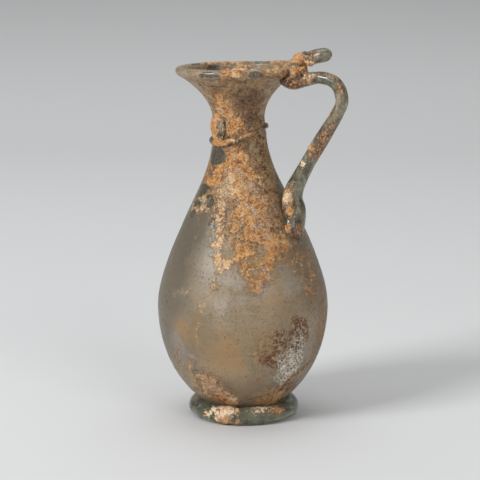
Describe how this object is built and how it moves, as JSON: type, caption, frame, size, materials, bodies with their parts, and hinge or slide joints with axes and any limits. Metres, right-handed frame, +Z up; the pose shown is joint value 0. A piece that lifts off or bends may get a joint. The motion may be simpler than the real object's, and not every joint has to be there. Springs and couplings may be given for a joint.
{
  "type": "glass ewer",
  "caption": "Pear-shaped blown-glass ewer with a funnel mouth, coiled foot ring, thread round the neck, arched rod handle and thumb rest; weathered, with ochre crust.",
  "frame": {"origin": "on the table under the middle of the whole outline, handle included", "axes": "+Z up, +X from the vessel's axis towards the handle"},
  "size_m": [0.0974, 0.0838, 0.1821],
  "materials": {
    "body_glass": "weathered olive-grey glass, frosted, with ochre crust on the neck and shoulder",
    "foot_glass": "glossy dark green glass with cream crust",
    "thread_glass": "glass under a granular ochre crust",
    "handle_glass": "blue-green glass with brown stain and cream crust"
  },
  "bodies": {
    "root": {"blown_body": "body_glass", "foot_ring": "foot_glass", "neck_thread": "thread_glass", "handle": "handle_glass"}
  },
  "joints": []
}
